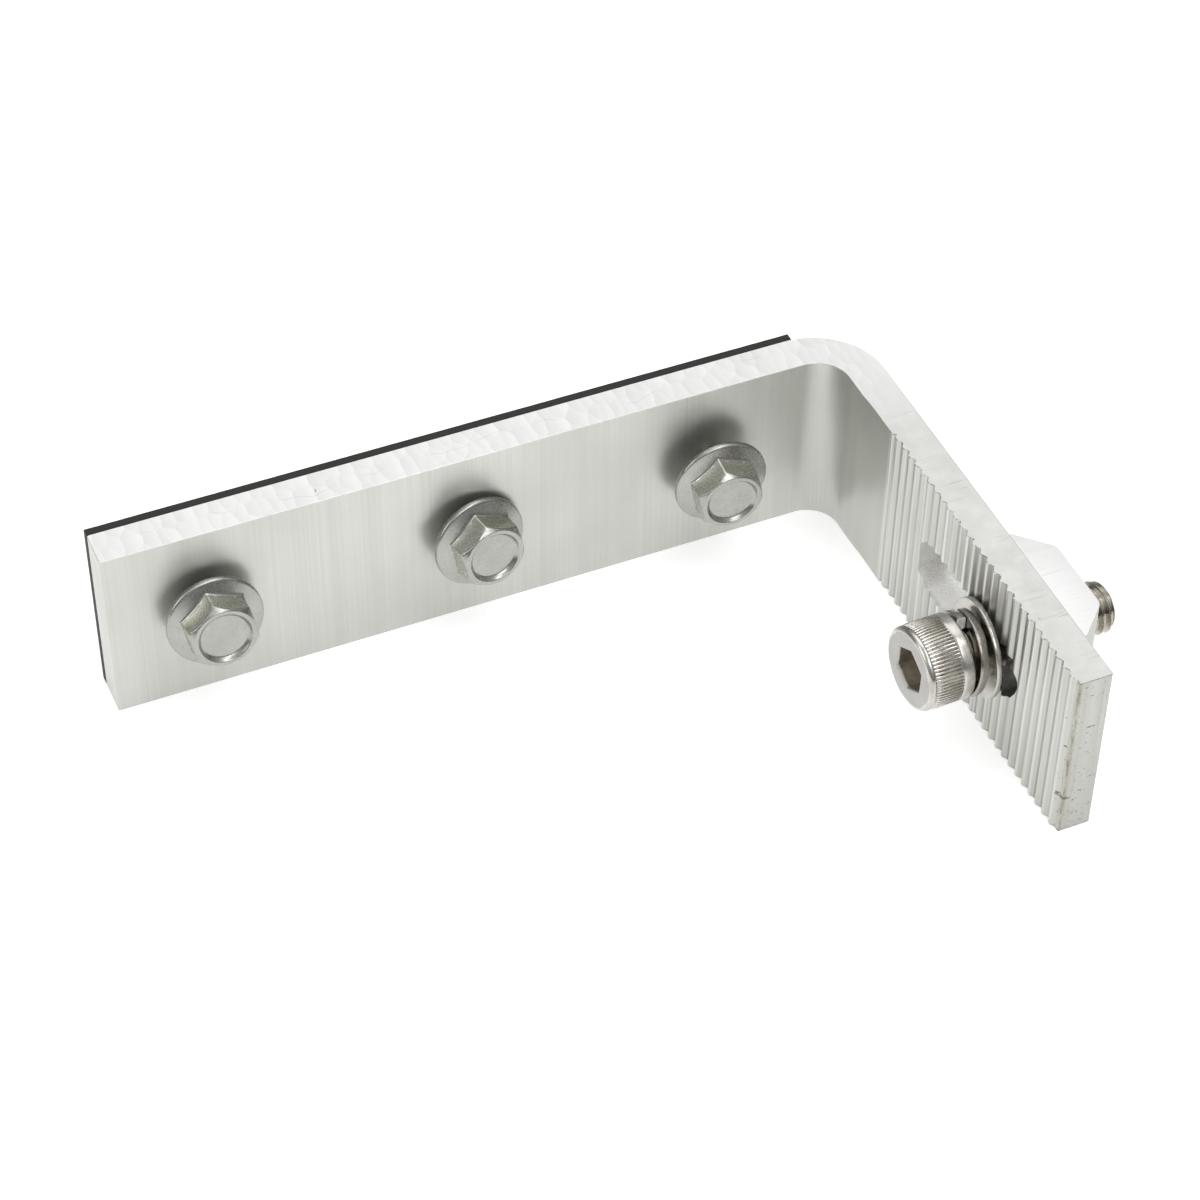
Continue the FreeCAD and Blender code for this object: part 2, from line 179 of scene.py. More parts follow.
def makeDieAluminium():
    look = dieLook
    material, shader, spot = startMaterial("die drawn aluminium")
    across, down, up = splitXyz(spot)
    cloud = grain(spot, 55, 3, 0.5)
    lines = grain(spot, 330, 3, 0.55, (1, 1, 0.006)) * 0.28 \
        + grain(spot, 3000, 5, 0.72, (1, 1, 0.004)) * 0.72
    score = grain(spot, 640, 1, 0.3, (1, 1, 0.012)).spread(0.73, 0.76, 0, 0.3)
    # the toothed face: thin dark and pale lines, no two teeth quite alike
    teeth = down.math("LESS_THAN", look["teethFrom"] * mm)
    combed = grain(spot, 2300, 2, 0.6, (0, 1, 0.006))
    uneven = grain(spot, 310, 2, 0.5, (0, 1, 0.012))
    # crests painted paler: partly wear, partly a painted highlight along their rounded tops
    crest = across.along(look["crestHighlightAcross"]) * uneven.spread(0.38, 0.62, 0, 0.7)
    # painted shade along the bottoms of the grooves, where shade falls between the teeth
    paintedShade = across.along(look["grooveShadeAcross"], 0, 0.85, "SMOOTHSTEP")
    paintedShade = paintedShade * across.math("LESS_THAN", look["grooveShadeLimit"] * mm)
    paintedShade = paintedShade * down.math("GREATER_THAN", look["grooveShadeEnd"] * mm)
    paintedShade = paintedShade * uneven.spread(0.6, 0.42, 0.08, 0.8)
    # painted shade along the top edge of the teeth, a dark line under the burr lip
    lip = abs(up).along(look["lipUp"], 0, 0.75) * grain(spot, 900, 3, 0.6).spread(0.36, 0.55, 0.1)
    # the free end: streaks, short dents, pits and a stain along its toothed corner
    streaks = grain(spot, 1700, 4, 0.75, (1, 1, 0.02)).spread(0.42, 0.64, 0, 0.9)
    oily = down.along(look["oilDown"]) * across.along(look["oilAcross"], 0, 0.6, "SMOOTHSTEP")
    oily = oily * grain(spot, 420, 3, 0.6, (1, 1, 0.5)).spread(0.35, 0.62, 0.3)
    rust = grain(spot, 1400, 4, 0.75, (1, 1, 0.2)).spread(0.4, 0.58, 0, 0.8)
    edge = down.along(look["stainDown"]) * across.along(look["stainAcross"])
    worn = down.along(look["pitsDown"])
    pits = grain(spot, 2500, 3, 0.6, (1, 0.8, 0.6), warp=0.5)
    pits = pits + worn * (up.along(look["pitsUp"], 0, 0.03) + 0.12)
    dents = grain(spot, 820, 2, 0.5, (0.5, 0.5, 1.7), warp=1.1) + worn * 0.2
    dots = pits.spread(0.765, 0.785, 0, 0.8).math("MAXIMUM", dents.spread(0.9, 0.915, 0, 0.8))
    colour = layered(
        blend(lines.spread(0.34, 0.66), look["grey"], look["pale"]), look,
        (cloud.spread(0.42, 0.68, 0, 0.6), "haze"), (score, "score"),
        (down.along(look["greyDown"], 0, 0.42), "flank"),
        (teeth * combed.spread(0.46, 0.34, 0, 0.5), "flank"),
        (teeth * combed.spread(0.56, 0.7, 0, 0.45), "crest"), (teeth * crest, "crest"),
        (teeth * paintedShade, "paintedShade"), (teeth * lip, "paintedShade"), (down.along(look["toeDown"]) * streaks, "toe"),
        (oily, "oil"), (rust * edge, "stain"), (dots, "speck"))
    rough = cloud.spread(0.3, 0.7, look["roughness"] - 0.04, look["roughness"] + 0.07)
    coat(shader, colour, look["metal"], rough, lines - dots * 2 + teeth * combed, look["lineDepth"])
    return material


# the sawn faces: near white, in overlapping steps that the blade leaves across the
# long leg, each with painted shade across it, and in short strokes across the toothed one
sawLook = {"bright": (0.88, 0.883, 0.867, 1), "step": (0.72, 0.725, 0.71, 1),
           "short": (0.66, 0.667, 0.636, 1), "scratch": (0.45, 0.45, 0.43, 1),
           "crack": (0.42, 0.41, 0.38, 1), "nick": (0.22, 0.21, 0.19, 1), "metal": 0.55,
           "roughness": 0.5, "stepLong": 1.7, "stepDeep": 3.4, "stepWander": 1.6,
           "stepHeight": 0.00002, "crackAt": -4.3, "crackWander": 12, "crackWide": (0.04, 0.12),
           "shortDown": (-12, -26), "scratchAcross": (60, 64), "cornerAcross": (64.78, 64.92)}


def makeSawnAluminium():
    look = sawLook
    material, shader, spot = startMaterial("sawn aluminium")
    across, down, up = splitXyz(spot)
    # each step is a cell, with painted shade running from one side to the other, as on a tilted facet
    shift = (grain(spot, 130, 3, 0.5) - 0.5) * (look["stepWander"] * mm)
    cellX = (across + shift) / (look["stepLong"] * mm)
    cellY = (down + shift) / (look["stepDeep"] * mm)
    cells = put(spot.tree, "ShaderNodeTexVoronoi", {"voronoi_dimensions": "2D"},
                Vector=joinXyz(spot.tree, cellX, cellY, 0), Scale=1, Randomness=0.75)
    middle = splitXyz(Flow(cells.outputs["Position"]))[0]
    chance = flow(spot.tree, "ShaderNodeSeparateColor", Color=Flow(cells.outputs["Color"]))
    steps = ((middle - cellX) * 0.75 + 0.5) * 0.7 + chance * 0.35
    strokes = grain(spot, 1500, 4, 0.7, (0.16, 1, 1)).spread(0.45, 0.75, 0.1, 0.55)
    onShort = down.along(look["shortDown"])
    streaks = (grain(spot, 1900, 4, 0.65, (1, 0.12, 1)) - 0.4) * onShort.spread(0, 1, 0.5, 0.1)
    shade = (between(onShort, steps, strokes) * 0.8).math("ADD", streaks, clamp=True)
    # the toothed leg's edge is greyer, scratched across, and darker along its outer corner
    patchy = grain(spot, 260, 4, 0.6).spread(0.35, 0.62, 0.6, 0.97)
    thin = grain(spot, 2500, 2, 0.5, (0.07, 1, 1), (0, 0, 0.25)).spread(0.58, 0.68, 0, 0.65)
    thin = thin * grain(spot, 190, 2, 0.5).spread(0.45, 0.62) * across.along(look["scratchAcross"], 0.25)
    corner = across.along(look["cornerAcross"], 0, 0.6) * grain(spot, 300, 3, 0.6).spread(0.35, 0.6, 0.3)
    # a crack wanders along the middle of the long leg and shows here and there
    path = (grain(spot, 48, 4, 0.6, (1, 0.1, 1)) - 0.5) * (look["crackWander"] * mm)
    crack = abs(down - path - look["crackAt"] * mm).along(look["crackWide"], 1, 0)
    crack = crack * grain(spot, 150, 2, 0.5, (1, 0.2, 1)).spread(0.52, 0.6, 0, 0.26) * (1 - onShort)
    nicks = grain(spot, 1100, 3, 0.6, (1, 0.5, 1), warp=0.4).spread(0.735, 0.765, 0, 0.75)
    colour = layered(blend(shade, look["bright"], look["step"]), look, (onShort * patchy, "short"),
                     (onShort * thin.math("MAXIMUM", corner), "scratch"), (crack, "crack"),
                     (nicks, "nick"))
    coat(shader, colour, look["metal"], look["roughness"], 1 - shade - crack * 1.5,
         look["stepHeight"], 0.6)
    return material


# the milled slot: torn and bright, greyer and brownish near the teeth, with painted shade at its bend
# end and darker painted shade at its far end
millLook = {"bright": (1, 0.998, 0.985, 1), "torn": (0.95, 0.94, 0.915, 1),
            "slotGreyAndShade": (0.66, 0.645, 0.6, 1), "dark": (0.09, 0.088, 0.08, 1), "metal": 0.35,
            "roughness": 0.33, "tornHeight": 0.0002, "greyAcross": (59.7, 60.5),
            "greyDown": (-47, -43), "bendShadeDown": (-41, -38.5), "farShadeDown": (-59.5, -63)}


def makeMilledAluminium():
    look = millLook
    material, shader, spot = startMaterial("milled slot wall with painted shade")
    across, down, up = splitXyz(spot)
    torn = grain(spot, 1300, 6, 0.72, (0.7, 1, 1), warp=1.2)
    fine = grain(spot, 2600, 4, 0.6)
    # greyer near the teeth, and painted shade at the bend's end of the slot
    near = across.along(look["greyAcross"], 1, 0) * down.along(look["greyDown"], 0.3)
    near = near.math("MAXIMUM", down.along(look["bendShadeDown"], 0, 0.9))
    near = near + grain(spot, 500, 4, 0.6).spread(0.35, 0.65, -0.25, 0.25)
    # the grey tint near the teeth, painted shade at the bend end, and darker painted shade at the far
    # end
    colour = layered(blend(torn.spread(0.36, 0.5), look["torn"], look["bright"]), look,
                     (near.math("MULTIPLY", 0.65, clamp=True), "slotGreyAndShade"),
                     (down.along(look["farShadeDown"], 0, 0.9), "dark"))
    rough = fine.spread(0.3, 0.7, look["roughness"] - 0.1, look["roughness"] + 0.15)
    coat(shader, colour, look["metal"], rough, torn + fine * 0.25, look["tornHeight"])
    return material


rubberLook = {"black": (0.013, 0.0147, 0.0126, 1), "worn": (0.03, 0.0325, 0.0275, 1),
              "dust": (0.16, 0.16, 0.15, 1), "roughness": 0.72, "skinHeight": 0.00003}


def makeRubber():
    look = rubberLook
    material, shader, spot = startMaterial("black rubber")
    skin = grain(spot, 1400, 5, 0.65)
    colour = layered(blend(skin.spread(0.3, 0.75, 0, 0.35), look["black"], look["worn"]), look,
                     (grain(spot, 700, 3, 0.6).spread(0.66, 0.78, 0, 0.6), "dust"))
    rough = skin.spread(0.3, 0.7, look["roughness"] - 0.08, look["roughness"] + 0.1)
    coat(shader, colour, 0, rough, skin, look["skinHeight"])
    return material


# plated roof screws: warm silver, satin, slightly lumpy from the barrel
# the flats take their own copy, painted lighter and yellower for the light they catch
platedLook = {"silver": (0.405, 0.408, 0.38, 1), "shade": (0.358, 0.363, 0.333, 1),
              "flatSilver": (0.7, 0.695, 0.625, 1), "flatShade": (0.62, 0.618, 0.55, 1),
              "spot": (0.2, 0.19, 0.16, 1), "roughness": 0.27, "lumpHeight": 0.000014}


def makePlatedSteel(name, silver, shade):
    look = platedLook
    material, shader, spot = startMaterial(name)
    lump = grain(spot, 380, 4, 0.6)
    fine = grain(spot, 3200, 3, 0.6)
    colour = layered(blend(lump.spread(0.32, 0.68), look[shade], look[silver]), look,
                     (grain(spot, 1500, 2, 0.5).spread(0.72, 0.76, 0, 0.5), "spot"))
    rough = fine.spread(0.25, 0.75, look["roughness"] - 0.05, look["roughness"] + 0.08)
    coat(shader, colour, 1, rough, lump + fine * 0.06, look["lumpHeight"], 0.5)
    return material


# stainless parts: bright tone, warm tone, roughness, how far the warm tone reaches, and
# whether lines run round the part's own axis, which lies near X
stainlessLook = {
    "turned stainless": ((0.62, 0.608, 0.575, 1), (0.44, 0.418, 0.38, 1), 0.26, 0, True),
    "upset stainless face": ((0.43, 0.426, 0.41, 1), (0.34, 0.334, 0.314, 1), 0.3, 0, False),
    # the knurl's ribs take a copy painted lighter, and the darker thread steel is also painted into the
    # knurl's valleys as shade
    "knurled stainless painted lighter": ((0.78, 0.765, 0.73, 1), (0.54, 0.517, 0.477, 1), 0.17, 0, False),
    "rolled stainless thread and painted knurl shade": ((0.64, 0.61, 0.55, 1), (0.29, 0.265, 0.225, 1), 0.17, 0.02, False),
    "spring stainless": ((0.44, 0.426, 0.395, 1), (0.32, 0.302, 0.268, 1), 0.22, 0.06, True),
    "washer stainless": ((0.57, 0.553, 0.515, 1), (0.45, 0.43, 0.39, 1), 0.27, 0, False)}


def makeStainless(name):
    bright, warm, roughness, warmth, lined = stainlessLook[name]
    material, shader, spot = startMaterial(name)
    lines = grain(spot, 3800, 4, 0.65, (1, 0.05, 0.05) if lined else (1, 1, 1))
    cloud = grain(spot, 300, 4, 0.55)
    colour = blend((lines * 0.5 + cloud * 0.5).spread(0.4, 0.62 + warmth), warm, bright)
    coat(shader, colour, 1, cloud.spread(0.3, 0.7, roughness - 0.05, roughness + 0.07), lines,
         0.000006 if lined else 0.000003, 0.6)
    return material


# the spring bar's cut ends are painted near white, a painted glint; the socket is
# darker and browner than the rest
roughLook = {
    "spring bar end painted glint": {"dark": (0.72, 0.71, 0.68, 1), "light": (0.98, 0.975, 0.96, 1), "metal": 0.3,
                        "grain": (2200, 3, 0.6, (1, 1, 0.3)), "rough": (0.35, 0.5), "height": 0.00001},
    "socket wall": {"dark": (0.37, 0.335, 0.28, 1), "light": (0.62, 0.58, 0.505, 1), "metal": 0.9,
                    "grain": (520, 4, 0.6), "rough": (0.3, 0.5), "height": 0.00004}}


def makeRoughSteel(name):
    look = roughLook[name]
    material, shader, spot = startMaterial(name)
    cloud = grain(spot, *look["grain"])
    colour = blend(cloud.spread(0.35, 0.65), look["dark"], look["light"])
    coat(shader, colour, look["metal"], cloud.spread(0.3, 0.7, *look["rough"]), cloud, look["height"])
    return material


# the nut's sawn ends: white, with fine scratches on both diagonals
nutLook = {"white": (0.98, 0.982, 0.975, 1), "scratch": (0.78, 0.785, 0.775, 1),
           "speck": (0.35, 0.34, 0.32, 1), "metal": 0.35, "roughness": 0.5, "scratchHeight": 0.00001}


def makeNutAluminium():
    look = nutLook
    material, shader, spot = startMaterial("sawn nut end")
    across = grain(spot, 3600, 3, 0.7, (0.02, 1, 1), (0, 0, -0.15))
    other = grain(spot, 3000, 3, 0.6, (0.03, 1, 1), (0, 0, 0.95))
    marks = across.spread(0.6, 0.75, 0, 0.8).math("ADD", other.spread(0.62, 0.74, 0, 0.7), clamp=True)
    marks = marks * grain(spot, 260, 3, 0.5).spread(0.3, 0.65, 0.35)
    specks = grain(spot, 1300, 2, 0.5).spread(0.74, 0.77, 0, 0.6)
    colour = layered(blend(marks, look["white"], look["scratch"]), look, (specks, "speck"))
    coat(shader, colour, look["metal"], look["roughness"], across, look["scratchHeight"])
    return material


dieAluminium = makeDieAluminium()
sawnAluminium = makeSawnAluminium()
milledWithPaintedShade = makeMilledAluminium()
blackRubber = makeRubber()
platedSteel = makePlatedSteel("plated steel", "silver", "shade")
flatsPaintedLighter = makePlatedSteel("plated hexagon flats painted lighter", "flatSilver", "flatShade")
headSteel, faceSteel, knurlPaintedLighter, threadAndKnurlShade, springSteel, washerSteel = \
    (makeStainless(name) for name in stainlessLook)
glintSteel, socketSteel = (makeRoughSteel(name) for name in roughLook)
nutAluminium = makeNutAluminium()
print("finishes made")


# mesh helpers
def polar(radius, degrees):
    return radius * math.cos(math.radians(degrees)), radius * math.sin(math.radians(degrees))


def meshObject(name, points, faces, *materials, edges=()):
    mesh = bpy.data.meshes.new(name)
    mesh.from_pydata([tuple(c * mm for c in p) for p in points], edges, faces)
    piece = bpy.data.objects.new(name, mesh)
    scene.collection.objects.link(piece)
    for material in materials:
        mesh.materials.append(material)
    return piece


def faceOutwards(piece):
    made = bmesh.new()
    made.from_mesh(piece.data)
    bmesh.ops.remove_doubles(made, verts=made.verts, dist=1e-7)
    bmesh.ops.dissolve_degenerate(made, edges=made.edges, dist=1e-7)
    bmesh.ops.recalc_face_normals(made, faces=made.faces)
    made.to_mesh(piece.data)
    made.free()


def loft(name, rings, *materials, paint=None, capped=False):
    # rings of equal count in millimetres; a single point or a flat cap closes an end
    points, faces, starts = [], [], []
    for ring in rings:
        starts.append(len(points))
        points.extend(ring)
    for k in range(len(rings) - 1):
        a, b = starts[k], starts[k + 1]
        count = max(len(rings[k]), len(rings[k + 1]))
        for i in range(count):
            j = (i + 1) % count
            if len(rings[k]) == 1:
                faces.append((a, b + i, b + j))
            elif len(rings[k + 1]) == 1:
                faces.append((a + i, a + j, b))
            else:
                faces.append((a + i, a + j, b + j, b + i))
    if capped:
        faces += [tuple(range(len(rings[0]))), tuple(range(starts[-1], len(points)))]
    piece = meshObject(name, points, faces, *materials)
    if paint:
        for face in piece.data.polygons:
            face.material_index = paint(face.center / mm, face.normal)
    faceOutwards(piece)
    return piece


def repaint(piece, material, chosen):
    # one more material for the faces that are chosen
    piece.data.materials.append(material)
    for face in piece.data.polygons:
        if chosen(face):
            face.material_index = len(piece.data.materials) - 1


def aimed(point, axis, reach, spin):
    # local Z along the axis, local X turned by spin from the level direction
    direction, level, plumb = frameOf(axis)
    across, rise = polar(1, spin)
    localX = level * across + plumb * rise
    place = Matrix((localX, direction.cross(localX), direction)).transposed().to_4x4()
    place.translation = (Vector(point) + direction * reach) * mm
    return place


def frameOf(axis):
    direction = Vector(axis).normalized()
    level = direction.cross(Vector((0, 0, 1))).normalized()
    return direction, level, direction.cross(level)


def joined(name, pieces):
    # one mesh from several, materials kept
    with bpy.context.temp_override(active_object=pieces[0], selected_editable_objects=pieces,
                                   object=pieces[0], selected_objects=pieces):
        bpy.ops.object.join()
    pieces[0].name = name
    pieces[0].data.name = name
    return pieces[0]


def settle(piece, degrees, place, body, node):
    # smooth up to an edge of so many degrees, put in place and handed over
    piece.data.shade_smooth()
    piece.data.set_sharp_from_angle(angle=math.radians(degrees))
    if place:
        piece.data.transform(place)
    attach(piece, body)
    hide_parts(node)
    print(node, "dressed:", len(piece.data.polygons), "faces")


def frozen(piece):
    # the evaluated shape becomes the plain mesh, and the modifiers go
    graph = bpy.context.evaluated_depsgraph_get()
    made = bpy.data.meshes.new_from_object(piece.evaluated_get(graph))
    piece.modifiers.clear()
    old = piece.data
    piece.data = made
    made.name = piece.name
    bpy.data.meshes.remove(old)
    return piece


def cut(piece, cutters):
    for cutter in cutters:
        tool = piece.modifiers.new("cut", "BOOLEAN")
        tool.operation, tool.solver = "DIFFERENCE", "EXACT"
        tool.object = cutter
        tool.material_mode = "TRANSFER"
    frozen(piece)
    for cutter in cutters:
        bpy.data.objects.remove(cutter)


def breakEdges(piece, width, segments, degrees, held):
    edge = piece.modifiers.new("arris", "BEVEL")
    edge.width, edge.segments = width * mm, segments
    edge.limit_method, edge.angle_limit = "ANGLE", math.radians(degrees)
    edge.use_clamp_overlap = held
    frozen(piece)


# geometry trees
def startTree(name, sizes, counts=""):
    # every tree is given its shape, sizes, whole counts and the finish it ends with
    tree = bpy.data.node_groups.new(name, "GeometryNodeTree")
    tree.is_modifier = True
    tree.interface.new_socket("Geometry", in_out="OUTPUT", socket_type="NodeSocketGeometry")
    inputs = [("Geometry", "Geometry")] + [(label, "Float") for label in sizes.split()]
    inputs += [(label, "Int") for label in counts.split()] + [("Finish", "Material")]
    for label, kind in inputs:
        tree.interface.new_socket(label, in_out="INPUT", socket_type="NodeSocket" + kind)
    source = tree.nodes.new("NodeGroupInput")
    return tree, {socket.name: Flow(socket) for socket in source.outputs if socket.name}


def endTree(given, geometry):
    real = flow(geometry.tree, "GeometryNodeRealizeInstances", Geometry=geometry)
    coated = flow(geometry.tree, "GeometryNodeSetMaterial", Geometry=real, Material=given["Finish"])
    put(geometry.tree, "NodeGroupOutput", Geometry=coated)
    return geometry.tree


def grown(piece, tree, **values):
    # runs a geometry tree on a piece; inputs are set by identifier beforehand
    modifier = piece.modifiers.new(tree.name, "NODES")
    modifier.node_group = tree
    for item in tree.interface.items_tree:
        if item.in_out == "INPUT" and item.name in values:
            modifier[item.identifier] = values[item.name]
    return frozen(piece)


def makeThreadTree():
    # a helical skin: every row of the grid follows the thread, so crests stay crisp
    tree, given = startTree("rolled thread", "Length Pitch Crest Root CrestFlat RootFlat TipLength "
                            "TipRadius", "Around RowsPerTurn")
    length, pitch = given["Length"], given["Pitch"]
    turns = (length / pitch).math("CEIL") + 2
    grid = flow(tree, "GeometryNodeMeshGrid", Size_X=1, Size_Y=1, Vertices_X=given["Around"] + 1,
                Vertices_Y=turns * given["RowsPerTurn"] + 1)
    x, y, z = splitXyz(flow(tree, "GeometryNodeInputPosition"))
    turn = x + 0.5
    row = (y + 0.5) * turns
    # one turn and one row below the start, so both ends are cut level by the clamp
    early = 1 / given["RowsPerTurn"] + 1
    raw = (row - early + turn) * pitch
    height = raw.math("MAXIMUM", 0).math("MINIMUM", length)
    phase = (height / pitch + (8 - turn)).math("FRACT")
    off = abs(phase - 0.5) * 2
    radius = off.spread(given["CrestFlat"], 1 - given["RootFlat"], given["Crest"], given["Root"])
    tip = height.spread(length - given["TipLength"], length, given["Crest"], given["TipRadius"])
    # the first row and the rows past the far end close to the axis
    low = row.math("LESS_THAN", 0.01)
    high = raw.math("GREATER_THAN", length + pitch * 0.3)
    radius = radius.math("MINIMUM", tip) * (1 - low.math("MAXIMUM", high))
    angle = turn * (2 * math.pi)
    place = joinXyz(tree, radius * angle.math("COSINE"), radius * angle.math("SINE"), height)
    moved = flow(tree, "GeometryNodeSetPosition", Geometry=grid, Position=place)
    return endTree(given, flow(tree, "GeometryNodeMergeByDistance", Geometry=moved, Distance=2e-6))


def makeRibTree():
    # the rib that the tree is given, repeated round local Z
    tree, given = startTree("knurl ribs", "Phase", "Count")
    spots = flow(tree, "GeometryNodePoints", Count=given["Count"])
    share = (flow(tree, "GeometryNodeInputIndex") + given["Phase"]) / given["Count"]
    return endTree(given, flow(tree, "GeometryNodeInstanceOnPoints", Points=spots,
                               Instance=given["Geometry"],
                               Rotation=joinXyz(tree, 0, 0, share * (2 * math.pi))))


def makeSpringTree():
    # a square bar wound to the left; its cut ends are left square
    tree, given = startTree("split spring", "Radius Bar Corner Turns Rise")
    spiral = flow(tree, "GeometryNodeCurveSpiral", Resolution=112, Rotations=given["Turns"],
                  Start_Radius=given["Radius"], End_Radius=given["Radius"], Height=given["Rise"],
                  Reverse=False)
    level = flow(tree, "GeometryNodeSetCurveNormal", {"mode": "Z_UP"}, Curve=spiral)
    bar = flow(tree, "GeometryNodeCurvePrimitiveQuadrilateral", Width=given["Bar"],
               Height=given["Bar"])
    section = flow(tree, "GeometryNodeFilletCurve", {"mode": "POLY"}, Curve=bar, Count=4,
                   Radius=given["Corner"])
    return endTree(given, flow(tree, "GeometryNodeCurveToMesh", Curve=level,
                               Profile_Curve=section, Fill_Caps=True))


def groovePress(given, along):
    # how far the toothed face lies under the smooth one, from the distance down the leg
    down = ((given["FirstGroove"] - along) / given["Pitch"]).math("MINIMUM", given["Grooves"] - 1)
    away = abs(down - down.math("ROUND").math("MAXIMUM", 0)) * given["Pitch"]
    half, lip, recess = given["ValleyFlat"] * 0.5, given["Mouth"] * 0.5, given["Recess"]
    deep = recess + given["Depth"]
    row = between(given["Softness"], away.spread(half, lip, deep, recess),
                  away.spread(half, lip, deep, recess, "SMOOTHSTEP"))
    # the entry groove is narrower, and above it the face only thins a little
    entry = abs(along - given["EntryGroove"])
    entry = entry.spread(half * 0.5, given["EntryMouth"] * 0.5, deep, 0)
    thin = along.spread(given["ThinFrom"], given["ThinTo"], 0, given["Thinning"], "SMOOTHSTEP")
    return between(along.math("LESS_THAN", given["EntryGroove"]), entry.math("MAXIMUM", thin),
                   entry.math("MAXIMUM", row))


serrationSizes = "Pitch Depth Recess ValleyFlat Mouth FirstGroove EntryGroove EntryMouth " \
                 "ThinFrom ThinTo Thinning InnerFace Width"


def makeAngleTree():
    # presses the grooves into the marked side of the outline and gives it its width
    tree, given = startTree("serrated angle", serrationSizes + " Softness", "Grooves")
    x, y, z = splitXyz(flow(tree, "GeometryNodeInputPosition"))
    press = groovePress(given, y) * x.math("COMPARE", given["InnerFace"], 1e-6)
    outline = flow(tree, "GeometryNodeSetPosition", Geometry=given["Geometry"],
                   Offset=joinXyz(tree, press, 0, 0))
    line = flow(tree, "GeometryNodeMeshToCurve", Mesh=outline)
    flat = flow(tree, "GeometryNodeFillCurve", {"mode": "NGONS"}, Curve=line)
    base = flow(tree, "GeometryNodeSetPosition", Geometry=flat,
                Offset=joinXyz(tree, 0, 0, given["Width"] * -0.5))
    raised = flow(tree, "GeometryNodeExtrudeMesh", {"mode": "FACES"}, Mesh=base, Offset=(0, 0, 1),
                  Offset_Scale=given["Width"], Individual=False)
    both = put(tree, "GeometryNodeJoinGeometry")
    for half in (raised, flow(tree, "GeometryNodeFlipFaces", Mesh=base)):
        feed(both.inputs[0], half)
    return endTree(given, flow(tree, "GeometryNodeMergeByDistance",
                               Geometry=Flow(both.outputs[0]), Distance=1e-6))


def makeBurrTree():
    # flakes of swarf along the sawn edge of the teeth, each turned and sized by chance
    tree, given = startTree("saw burrs", serrationSizes + " Softness From To Level Smallest Largest",
                            "Grooves Count Seed")

    def chance(kind, out, more, **limits):
        return flow(tree, "FunctionNodeRandomValue", {"data_type": kind}, out,
                    Seed=given["Seed"] + more if more else given["Seed"], **limits)

    spots = flow(tree, "GeometryNodePoints", Count=given["Count"])
    along = given["From"] + chance("FLOAT", 1, 0, i2=0, i3=1) * (given["To"] - given["From"])
    edge = given["InnerFace"] + groovePress(given, along)
    moved = flow(tree, "GeometryNodeSetPosition", Geometry=spots,
                 Position=joinXyz(tree, edge, along, given["Level"]))
    turn = chance("FLOAT_VECTOR", 0, 1, i0=(-0.5, -0.5, 0), i1=(0.5, 0.5, 6.28))
    size = chance("FLOAT", 1, 2, i2=given["Smallest"], i3=given["Largest"])
    return endTree(given, flow(tree, "GeometryNodeInstanceOnPoints", Points=moved,
                               Instance=given["Geometry"], Rotation=turn, Scale=size))


threadTree, ribTree, springTree = makeThreadTree(), makeRibTree(), makeSpringTree()
angleTree, burrTree = makeAngleTree(), makeBurrTree()
print("geometry trees made")


# the angle
angle = {"leftEnd": -55, "roofFace": -1.5, "longThick": 6, "heel": 65, "shortThick": 5.8,
         "toe": -81.5, "outerBend": 11, "innerBend": 5, "width": 30, "corner": 0.3,
         "pitch": 2, "recess": 0.22, "depth": 0.46, "valleyFlat": 0.22, "mouth": 1.65,
         "firstGroove": -28.6, "grooves": 27, "entryGroove": -26.7, "entryMouth": 0.98,
         "thinFrom": -16.5, "thinTo": -20.5, "thinning": 0.17, "softness": 0.35, "step": 0.1,
         "slotTop": -41, "slotEnd": -62, "slotWide": 9, "slotFrom": 58.2, "slotDeep": 7.8,
         "slotTorn": 0.045, "holes": (-40, 0, 40), "holeWide": 8, "holeDown": (-8.5, 0.5),
         "arris": 0.05}
burrs = {"count": 170, "from": -26.2, "to": -81.3, "smallest": 0.35, "largest": 1, "seed": 4,
         "sunk": 0.04, "flake": (0.2, 0.13, 0.06)}


def serration():
    # the toothed face's inputs, by the names that the trees give them
    values = dict(angle, innerFace=angle["heel"] - angle["shortThick"])
    sizes = {name: values[name[0].lower() + name[1:]] * mm for name in serrationSizes.split()}
    return dict(sizes, Grooves=angle["grooves"], Softness=angle["softness"])


def roundCorner(x, y, radius, start, end, count):
    arc = (polar(radius, start + (end - start) * i / count) for i in range(count + 1))
    return [(x + across, y + up) for across, up in arc]


def angleOutline():
    a, c, bend = angle, angle["corner"], angle["outerBend"]
    innerX, innerY = a["heel"] - a["shortThick"], a["roofFace"] - a["longThick"]
    line = roundCorner(a["leftEnd"] + c, a["roofFace"] - c, c, 180, 90, 4)
    line += roundCorner(a["heel"] - bend, a["roofFace"] - bend, bend, 90, 0, 40)
    line += roundCorner(a["heel"] - c, a["toe"] + c, c, 0, -90, 4)
    y = a["toe"]
    while y < a["entryGroove"] + 1:
        line.append((innerX, y))
        y += a["step"]
    bend = a["innerBend"]
    line += [(innerX, y + (innerY - bend - y) * i / 24) for i in range(24)]
    line += roundCorner(innerX - bend, innerY - bend, bend, 0, 90, 28)
    return line + roundCorner(a["leftEnd"] + c, innerY + c, c, 270, 180, 4)


